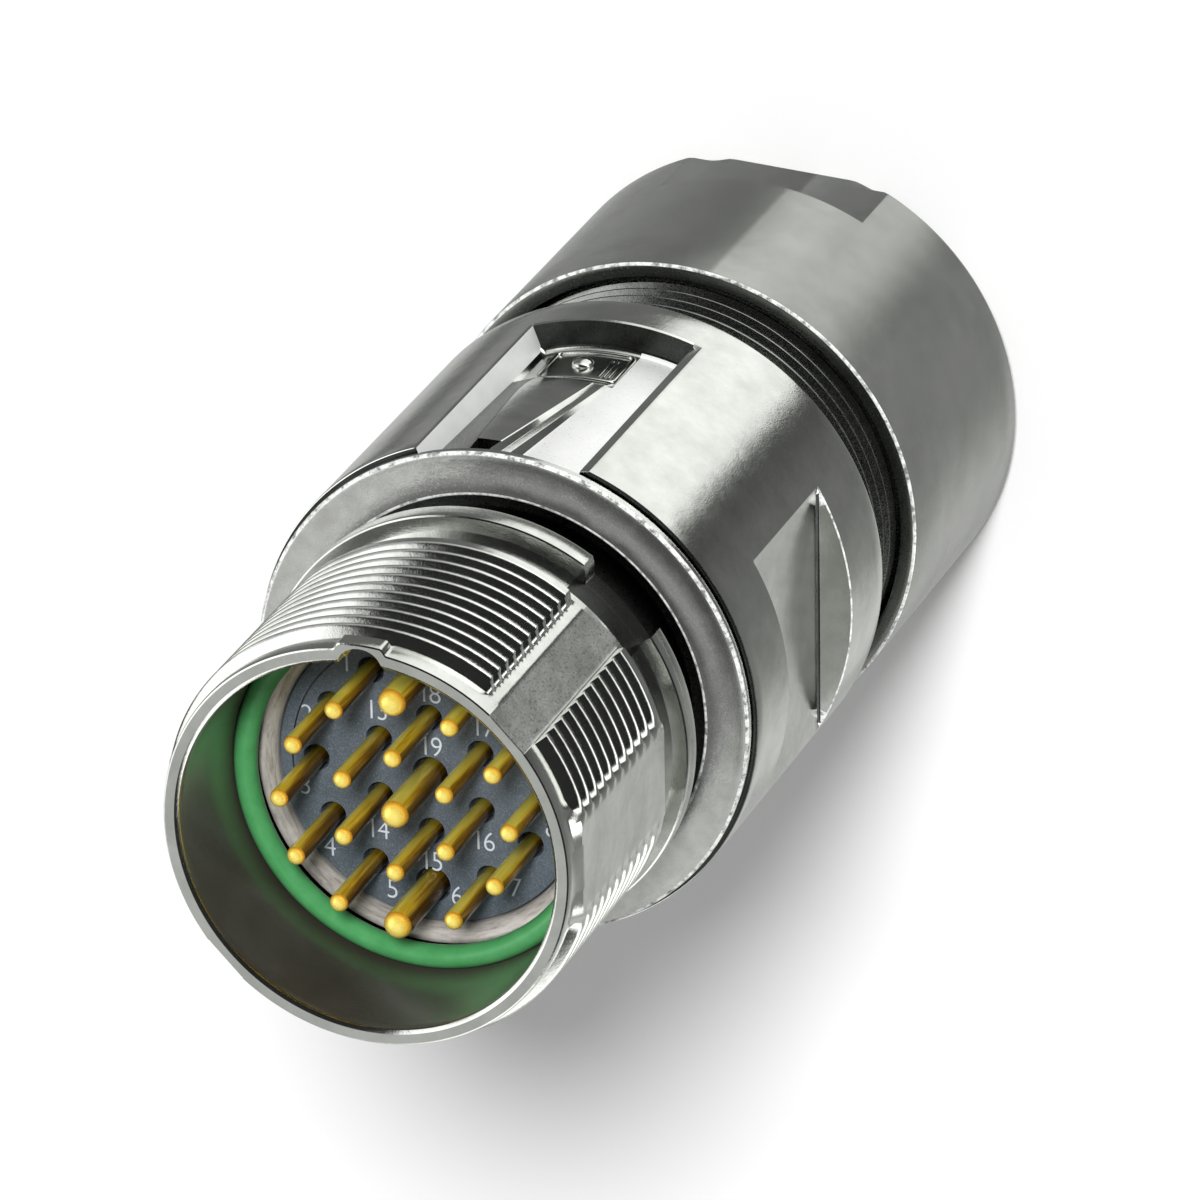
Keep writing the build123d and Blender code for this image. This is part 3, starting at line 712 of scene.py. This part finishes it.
def nut_radius(r, z):
    out = np.full(len(nut_cols), float(r))
    if z < 5.2 and r > 12.4:
        for c in NUT_FLATS:
            d = np.abs(wrap(nut_cols - c))
            out = np.where(d < 25.1, np.minimum(out, 12.50 / np.cos(np.radians(np.minimum(d, 40)))), out)
    return out


profile = [(7.9, 0.0), (11.5, 0.0), (12.94, 0.0), (13.02, 0.03), (13.70, 0.76), (13.77, 0.86), (13.80, 0.98), (13.80, 2.5), (13.80, 5.198), (13.80, 5.202), (13.80, 9.0), (13.80, 13.0),
           (13.80, 17.30), (13.78, 17.40), (13.71, 17.47), (13.62, 17.50), (13.4, 17.50), (13.1, 17.48), (12.98, 17.46), (12.88, 17.38), (12.84, 17.26), (12.84, 15.62), (12.62, 15.3)]
for k in range(8):
    c = 14.75 - k
    profile += [(12.62, c + 0.42), (12.95, c + 0.10), (12.95, c - 0.10), (12.62, c - 0.42)]
profile += [(12.62, 6.9), (12.6, 6.22), (12.56, 6.20), (11.29, 6.20), (11.25, 6.16), (11.25, 2.44), (11.21, 2.40), (7.04, 2.40), (7.0, 2.36), (7.0, 0.92), (7.2, 0.66)]
gland = revolve("gland_nut_turned", [(nut_radius(r, z), z) for r, z in profile], nut_cols, sharp=24.0)
dress(gland, satin, NUT, ["gland_nut"])
# painted glints on the nut's front outer edge
paint(gland, painted_glint, lambda x, y, z, r, t, n: z > 17.40 and r > 13.64)
# painted shade: the nut's turned front face, darkened
paint(gland, painted_shade_annulus, lambda x, y, z, r, t, n: z > 17.3 and 12.9 < r < 13.62)

# ------------------------------------------------------------------ seal, sleeve ring
ring_cols = np.arange(-180, 180, 1.4)
a = np.linspace(0, 2 * math.pi, 28, endpoint=False)
seal = revolve("mating_seal_ring", [(9.50 + 0.61 * math.cos(t), 54.80 + 0.64 * math.sin(t)) for t in a], ring_cols, sharp=80)
dress(seal, seal_mat, HOUSING, ["mating_seal"])
sleeve = revolve("insert_sleeve_ring",
                 [(8.36, 53.10), (8.38, 53.26), (8.45, 53.40), (8.58, 53.50), (8.76, 53.60), (8.94, 53.69), (9.08, 53.75), (9.20, 53.76), (9.29, 53.70), (9.35, 53.57), (9.36, 53.04), (9.33, 53.0), (8.64, 52.99), (8.62, 52.93),
                  (8.62, 38.02), (8.66, 37.98), (10.32, 37.98), (10.36, 37.94), (10.36, 37.24), (10.32, 37.2), (8.14, 37.2), (8.10, 37.24), (8.10, 46.0), (8.10, 52.62), (8.35, 52.67)], ring_cols, sharp=40)
dress(sleeve, ringmetal, HOUSING, ["insert_sleeve"])

# ------------------------------------------------------------------ contacts
contacts = []
for i in range(1, 13):
    contacts.append((i, 6.25, 30.0 * i, i in (6, 12)))
for i in range(13, 19):
    contacts.append((i, 3.20, 60.0 * (i - 12), False))
contacts.append((19, 0.0, 0.0, True))
spots = {}
for i, ring, ang, thick in contacts:
    t = math.radians(ang)
    spots[i] = (-ring * math.sin(t), ring * math.cos(t), thick)
for i, (x, y, thick) in spots.items():
    p = 0.75 if thick else 0.50
    b = 1.05 if thick else 0.80
    c = 0.75 if thick else 0.55
    tip = 58.60
    prof = [(0, tip), (p * 0.22, tip - p * 0.015), (p * 0.45, tip - p * 0.075), (p * 0.65, tip - p * 0.18), (p * 0.82, tip - p * 0.33), (p * 0.93, tip - p * 0.52),
            (p * 0.985, tip - p * 0.72), (p, tip - p * 0.95), (p, 53.6), (p, 46.0), (b + 0.25, 45.97), (b + 0.25, 44.4), (b, 44.4), (b, 33.05), (b - 0.05, 33.0), (c, 33.0), (c, 37.6), (0, 38.0)]
    pin = solid_turn("contact_pin_%02d" % i, prof, seg=40, sharp=35.0, centre=(x, y))
    dress(pin, gold, HOUSING, ["contact_%02d" % i])
    paint(pin, gold_tip, lambda x, y, z, r, t, n: z > tip - p * 0.8)

# ------------------------------------------------------------------ insert with its holes
def prism(pts, z0, z1):
    m = len(pts)
    v = [(px * MM, py * MM, z0 * MM) for px, py in pts] + [(px * MM, py * MM, z1 * MM) for px, py in pts]
    f = [tuple(range(m))[::-1], tuple(range(m, 2 * m))] + [(k, (k + 1) % m, m + (k + 1) % m, m + k) for k in range(m)]
    return v, f


def cone_cut(x, y, steps, seg=48):
    """Closed turned cutter from (radius, height) steps."""
    v, f = [], []
    for r, z in steps:
        for k in range(seg):
            t = 2 * math.pi * k / seg
            v.append(((x + r * math.cos(t)) * MM, (y + r * math.sin(t)) * MM, z * MM))
    n = len(steps)
    for j in range(n - 1):
        for k in range(seg):
            q = (k + 1) % seg
            f.append((j * seg + k, j * seg + q, (j + 1) * seg + q, (j + 1) * seg + k))
    f.append(tuple(range(seg))[::-1])
    f.append(tuple((n - 1) * seg + k for k in range(seg)))
    return v, f


cutv, cutf = [], []


def add_cut(vf):
    v, f = vf
    o = len(cutv)
    cutv.extend(v)
    cutf.extend([tuple(k + o for k in q) for q in f])


for i, (x, y, thick) in spots.items():
    p = 0.75 if thick else 0.50
    add_cut(cone_cut(x, y, [(p + 0.02, 45.0), (p + 0.02, 52.25), (p + 0.17, 52.35), (p + 0.17, 53.02), (p + 0.26, 53.35)]))
# thin curved slots near the edge of the face
for a0, a1, w in ((34, 104, 0.10), (-62, -38, 0.10)):
    tt = np.radians(np.linspace(a0, a1, 60))
    outer = [(-7.62 * math.sin(t), 7.62 * math.cos(t)) for t in tt]
    inner = [(-(7.62 - w) * math.sin(t), (7.62 - w) * math.cos(t)) for t in tt[::-1]]
    add_cut(prism(outer + inner, 52.9, 53.4))
cutter = obj_from("cutter", cutv, cutf, smooth=False)
blank = solid_turn("contact_insert_face", [(0, 53.20), (4.0, 53.20), (8.12, 53.20), (8.25, 53.15), (8.32, 53.02), (8.32, 52.75), (8.06, 52.70), (8.06, 46.0), (4.0, 46.0), (0, 46.0)], seg=256, sharp=30)
mod = blank.modifiers.new("holes", "BOOLEAN")
mod.object = cutter
mod.operation = "DIFFERENCE"
mod.solver = "EXACT"
dg = bpy.context.evaluated_depsgraph_get()
cut = bpy.data.meshes.new_from_object(blank.evaluated_get(dg))
cut.name = "contact_insert_face"
blank.modifiers.clear()
blank.data = cut
cut.polygons.foreach_set("use_smooth", [True] * len(cut.polygons))
cut.set_sharp_from_angle(angle=math.radians(30))
bpy.data.objects.remove(cutter)
dress(blank, insert_mat, HOUSING, ["contact_insert"])

# ------------------------------------------------------------------ contact numbers
label_spots = {1: (-4.44, 5.59), 2: (-6.72, 2.30), 3: (-6.91, -1.73), 4: (-5.65, -5.04), 5: (-2.24, -6.92), 6: (1.31, -6.75), 7: (4.53, -5.77),
               8: (6.55, -2.05), 9: (7.05, 1.55), 10: (4.55, 4.45), 11: (2.05, 6.80), 12: (-1.35, 6.35), 13: (-2.85, 3.13), 14: (-2.95, -3.62),
               15: (-0.03, -4.98), 16: (2.85, -3.38), 17: (2.94, 3.06), 18: (0.06, 4.52), 19: (0.07, 1.53)}
parts_v, parts_f = [], []
for i, (x, y) in label_spots.items():
    cu = bpy.data.curves.new("n", "FONT")
    cu.body = str(i)
    cu.size = 1.58 * MM
    cu.offset = -0.018 * MM
    cu.align_x, cu.align_y = "CENTER", "CENTER"
    cu.extrude = 0.006 * MM
    cu.space_character = 0.82
    tmp = bpy.data.objects.new("n", cu)
    bpy.context.scene.collection.objects.link(tmp)
    dg = bpy.context.evaluated_depsgraph_get()
    me = bpy.data.meshes.new_from_object(tmp.evaluated_get(dg))
    o = len(parts_v)
    for v in me.vertices:
        parts_v.append((v.co.x * 0.92 + x * MM, v.co.y + y * MM, v.co.z + 53.206 * MM))
    parts_f += [tuple(k + o for k in p.vertices) for p in me.polygons]
    bpy.data.objects.remove(tmp)
numbers = obj_from("contact_numbers", parts_v, parts_f, smooth=False)
dress(numbers, print_mat, HOUSING)

# ------------------------------------------------------------------ carried-over inner nodes
for node, mat in (("contact_retainer", retainer_mat), ("spacer_sleeve", spacer_mat), ("shield_ring", tin),
                  ("clamp_cage", cage_mat), ("cable_seal", rubber_mat), ("slip_ring", spacer_mat)):
    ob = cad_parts[node]
    if not ob.data.materials:
        ob.data.materials.append(mat)
    for s in ob.material_slots:
        s.material = mat

# ------------------------------------------------------------------ floor
me = bpy.data.meshes.new("floor")
S = 3.0
me.from_pydata([(-S, -S, 0), (S, -S, 0), (S, S, 0), (-S, S, 0)], [], [(0, 1, 2, 3)])
floor = bpy.data.objects.new("floor", me)
bpy.context.scene.collection.objects.link(floor)
fl = Nodes("pale_floor").set(Roughness=0.9)
fl.b.inputs["Specular IOR Level"].default_value = 0.0
fl.to("Base Color", fl.ramp(fl.noise(3.0), [(0.3, 0.90), (0.7, 0.92)]))
me.materials.append(fl.mat)
floor.location.z = -0.00002
floor.visible_glossy = False

# ------------------------------------------------------------------ light
world = bpy.data.worlds.new("studio")
bpy.context.scene.world = world
world.use_nodes = True
wt = world.node_tree
wt.nodes.clear()


def wn(kind, **kw):
    n = wt.nodes.new(kind)
    for k, v in kw.items():
        setattr(n, k, v)
    return n


def wmath(op, a, b=0.0):
    n = wn("ShaderNodeMath", operation=op)
    for i, v in enumerate((a, b)):
        if isinstance(v, (int, float)):
            n.inputs[i].default_value = v
        else:
            wt.links.new(v, n.inputs[i])
    return n.outputs[0]


def wramp(fac, stops, tint=(1.0, 1.0, 1.0)):
    n = wn("ShaderNodeValToRGB")
    cr = n.color_ramp
    while len(cr.elements) > 1:
        cr.elements.remove(cr.elements[-1])
    cr.elements[0].position = stops[0][0]
    cr.elements[0].color = tuple(stops[0][1] * t for t in tint) + (1,)
    for p, v in stops[1:]:
        e = cr.elements.new(p)
        e.color = tuple(v * t for t in tint) + (1,)
    wt.links.new(fac, n.inputs[0])
    return n.outputs[0]


def wmix(fac, a, b):
    n = wn("ShaderNodeMix", data_type="RGBA")
    for i, v in ((0, fac), (6, a), (7, b)):
        if isinstance(v, (int, float)):
            n.inputs[i].default_value = v if i == 0 else (v, v, v, 1)
        elif isinstance(v, tuple):
            n.inputs[i].default_value = (*v, 1)
        else:
            wt.links.new(v, n.inputs[i])
    return n.outputs[2]


tc = wn("ShaderNodeTexCoord")
sep = wn("ShaderNodeSeparateXYZ")
wt.links.new(tc.outputs["Generated"], sep.inputs[0])
X, Y, Z = sep.outputs
# azimuth of a direction, counted from +Y against the clock seen from above, 0..1 over -180..180 degrees
azi = wmath("ADD", wmath("DIVIDE", wmath("ARCTAN2", wmath("MULTIPLY", X, -1.0), Y), 2 * math.pi), 0.5)


def around(stops):
    """stops: wall angle on a cylinder (degrees) -> brightness, turned into the azimuth its reflection looks to."""
    out = []
    for wall, v in stops:
        ref = wrap(2 * wall - (-37.8))
        out.append(((ref + 180.0) / 360.0, v))
    return sorted(out)


low = wramp(azi, around([(-127, 0.50), (-112, 0.45), (-98, 0.68), (-90, 0.55), (-83, 0.30), (-70, 0.21), (-58, 0.17), (-50, 0.11), (-44.5, 0.09), (-42.5, 0.35), (-41, 1.2), (-30, 1.32),
                         (-18, 1.25), (-12, 1.05), (-10, 0.95), (-9, 0.18), (-2, 0.16), (6, 0.17), (16, 0.20), (26, 0.36), (30, 0.09), (33, 0.10), (36, 0.48), (46, 0.62), (51, 0.5)]), (1.0, 1.01, 0.985))


def toward(x, y, z):
    n = wn("ShaderNodeVectorMath", operation="DOT_PRODUCT")
    wt.links.new(tc.outputs["Generated"], n.inputs[0])
    n.inputs[1].default_value = (x, y, z)
    return n.outputs["Value"]


top = wramp(toward(-0.3265, -0.4212, 0.846), [(0.0, 0.02), (0.62, 0.03), (0.70, 0.34), (0.80, 0.46), (0.90, 0.52), (0.965, 0.66), (1.0, 0.54)], (1.0, 1.01, 0.985))
side = wramp(toward(-0.90, 0.14, 0.41), [(0.0, 0.0), (0.77, 0.0), (0.80, 1.3), (0.90, 1.6), (0.965, 1.9)])
top = wmix(1.0, top, side)
top.node.blend_type = "ADD"
band = wramp(azi, [((a + 180) / 360, v) for a, v in ((-180, 1.6), (-108, 2.6), (-60, 1.6), (-20, 3.2), (0, 1.6), (22, 0.5), (60, 0.6), (78, 1.8), (126, 1.3), (180, 1.6))], (1.0, 1.01, 0.985))
zz = wmath("ADD", wmath("MULTIPLY", Z, 0.5), 0.5)
in_top = wramp(zz, [(0.66, 0.0), (0.73, 1.0)])
in_band = wramp(zz, [(0.495, 0.0), (0.52, 1.0)])
glossy = wmix(in_top, wmix(in_band, low, band), top)
lp = wn("ShaderNodeLightPath")
soft = wmix(lp.outputs["Is Camera Ray"], 0.38, 1.0)
colour = wmix(lp.outputs["Is Glossy Ray"], soft, glossy)
bg = wn("ShaderNodeBackground")
bg.inputs["Strength"].default_value = 1.0
wt.links.new(colour, bg.inputs["Color"])
wo = wn("ShaderNodeOutputWorld")
wt.links.new(bg.outputs[0], wo.inputs["Surface"])


def lamp(name, kind, loc, target, energy, size=None, glossy_on=True, angle=None):
    d = bpy.data.lights.new(name, kind)
    d.energy = energy
    if size:
        d.shape = "RECTANGLE"
        d.size, d.size_y = size
    if angle is not None:
        d.angle = math.radians(angle)
    o = bpy.data.objects.new(name, d)
    bpy.context.scene.collection.objects.link(o)
    o.location = loc
    o.rotation_mode = "QUATERNION"
    o.rotation_quaternion = (Vector(target) - Vector(loc)).to_track_quat("-Z", "Y")
    o.visible_camera = False
    o.visible_glossy = glossy_on
    return o


lamp("key", "SUN", (0.215, 0.541, 0.830), (0, 0, 0), 2.95, glossy_on=False, angle=12)

# ------------------------------------------------------------------ camera
cam = bpy.data.cameras.new("camera")
cam.lens = 303.0
cam.sensor_width = 36.0
cam.clip_start, cam.clip_end = 0.01, 10.0
camera = bpy.data.objects.new("camera", cam)
bpy.context.scene.collection.objects.link(camera)
right = Vector((0.93536, -0.01508, -0.35339))
up = -Vector((0.13607, -0.90686, 0.39886))
back = -Vector((-0.32649, -0.42116, -0.84618))
pos = Vector((0.174711, 0.224427, 0.481625))
camera.matrix_world = Matrix(((right.x, up.x, back.x, pos.x), (right.y, up.y, back.y, pos.y), (right.z, up.z, back.z, pos.z), (0, 0, 0, 1)))
bpy.context.scene.camera = camera

vs = bpy.context.scene.view_settings
vs.view_transform = "Standard"
vs.look = "None"
